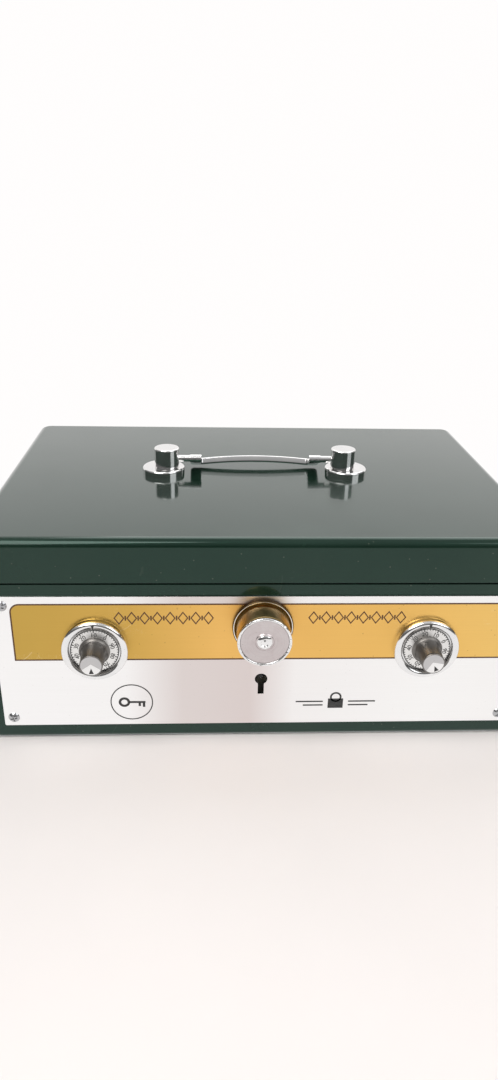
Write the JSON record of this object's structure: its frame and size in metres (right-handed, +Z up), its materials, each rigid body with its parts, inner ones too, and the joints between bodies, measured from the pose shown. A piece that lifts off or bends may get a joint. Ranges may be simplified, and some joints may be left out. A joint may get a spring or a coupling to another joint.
{
  "type": "cash box",
  "caption": "Portable steel cash box with a hinged lid and folding handle, number dials, turn knob, keyhole, and a lift-out tray with bill clamps.",
  "frame": {"origin": "middle of the flat underside of the body", "axes": "+X along the front to the viewer's right, -Y out of the front face, +Z up"},
  "size_m": [0.3, 0.2306, 0.1356],
  "materials": {
    "green_enamel": "glossy dark green stove enamel",
    "brushed_plate": "upright brushed, with a gold band",
    "chrome": "polished, lightly pitted",
    "satin_knob": "satin, turned",
    "zinc_plate": "dull zinc plate",
    "spring_steel": "bright drawn steel",
    "beige_enamel": "half-gloss beige enamel",
    "brown_enamel": "half-gloss dark brown enamel"
  },
  "bodies": {
    "case": {"body_shell": "green_enamel", "rim_frame": "green_enamel", "faceplate": "brushed_plate", "faceplate_screws": "chrome", "left_dial_bezel": "chrome", "right_dial_bezel": "chrome", "dial_nuts": "zinc_plate", "knob_escutcheon": "chrome", "knob_nut": "zinc_plate", "lock_case": "zinc_plate", "lock_case_screws": "zinc_plate", "slide_guides": "zinc_plate", "bolt_guides": "zinc_plate", "key_post": "zinc_plate", "lever_pivot": "zinc_plate", "hinge_body_leaves": "zinc_plate", "hinge_pins": "spring_steel", "hinge_body_rivets": "zinc_plate"},
    "left_dial": {"left_dial_disc": "chrome", "left_dial_knob": "chrome", "left_dial_spindle": "zinc_plate", "left_combination_wheel": "zinc_plate", "left_wheel_nut": "spring_steel"},
    "right_dial": {"right_dial_disc": "chrome", "right_dial_knob": "chrome", "right_dial_spindle": "zinc_plate", "right_combination_wheel": "zinc_plate", "right_wheel_nut": "spring_steel"},
    "center_knob": {"turn_knob": "satin_knob", "knob_boss": "chrome", "knob_spindle": "zinc_plate", "knob_crank": "zinc_plate"},
    "latch": {"latch_slide": "zinc_plate"},
    "key_bolt": {"lock_bolt": "zinc_plate"},
    "lever": {"lock_lever": "zinc_plate", "lever_spring": "spring_steel"},
    "lid": {"lid_shell": "green_enamel", "hinge_lid_leaves": "zinc_plate", "hinge_lid_rivets": "zinc_plate", "strikers": "zinc_plate", "document_pocket": "green_enamel", "pocket_rivets": "zinc_plate", "handle_posts": "chrome", "handle_discs": "chrome", "handle_rivets": "zinc_plate"},
    "handle": {"handle_bail": "chrome"},
    "tray": {"tray_pan": "beige_enamel", "tray_divider": "beige_enamel", "clamp_brackets": "zinc_plate", "clamp_pins": "spring_steel"},
    "left_clamp": {"left_bill_clamp": "brown_enamel"},
    "right_clamp": {"right_bill_clamp": "brown_enamel"}
  },
  "joints": [
    {"name": "lid_hinge", "type": "hinge", "parent": "case", "child": "lid", "pos_m": [0, 0.1065, 0.096], "axis": [-1, 0, 0], "range_deg": [0, 100]},
    {"name": "handle_fold", "type": "hinge", "parent": "lid", "child": "handle", "pos_m": [0, 0, 0.1287], "axis": [1, 0, 0], "range_deg": [0, 225]},
    {"name": "left_dial_turn", "type": "hinge", "parent": "case", "child": "left_dial", "pos_m": [-0.0877, -0.1035, 0.0584], "axis": [0, -1, 0], "continuous": true},
    {"name": "right_dial_turn", "type": "hinge", "parent": "case", "child": "right_dial", "pos_m": [0.0877, -0.1035, 0.0584], "axis": [0, -1, 0], "continuous": true},
    {"name": "knob_turn", "type": "hinge", "parent": "case", "child": "center_knob", "pos_m": [0, -0.1035, 0.0715], "axis": [0, 1, 0], "range_deg": [0, 60]},
    {"name": "latch_throw", "type": "slide", "parent": "case", "child": "latch", "axis": [1, 0, 0], "range_m": [0, 0.008]},
    {"name": "bolt_throw", "type": "slide", "parent": "case", "child": "key_bolt", "axis": [0, 0, 1], "range_m": [0, 0.005]},
    {"name": "lever_lift", "type": "hinge", "parent": "case", "child": "lever", "pos_m": [-0.022, -0.0948, 0.0498], "axis": [0, -1, 0], "range_deg": [0, 5], "stiffness_Nm_per_rad": 0.005, "springref_deg": -11.46},
    {"name": "tray_lift", "type": "slide", "parent": "case", "child": "tray", "axis": [0, 0, 1], "range_m": [0, 0.007]},
    {"name": "left_clamp_lift", "type": "hinge", "parent": "tray", "child": "left_clamp", "pos_m": [-0.068, 0.0817, 0.08705], "axis": [-1, 0, 0], "range_deg": [0, 10], "stiffness_Nm_per_rad": 0.02, "springref_deg": -20.05},
    {"name": "right_clamp_lift", "type": "hinge", "parent": "tray", "child": "right_clamp", "pos_m": [0.068, 0.0817, 0.08705], "axis": [-1, 0, 0], "range_deg": [0, 10], "stiffness_Nm_per_rad": 0.02, "springref_deg": -20.05}
  ],
  "couplings": [
    {"joint": "latch_throw", "follows": "knob_turn", "m_per_rad": 0.007635}
  ]
}
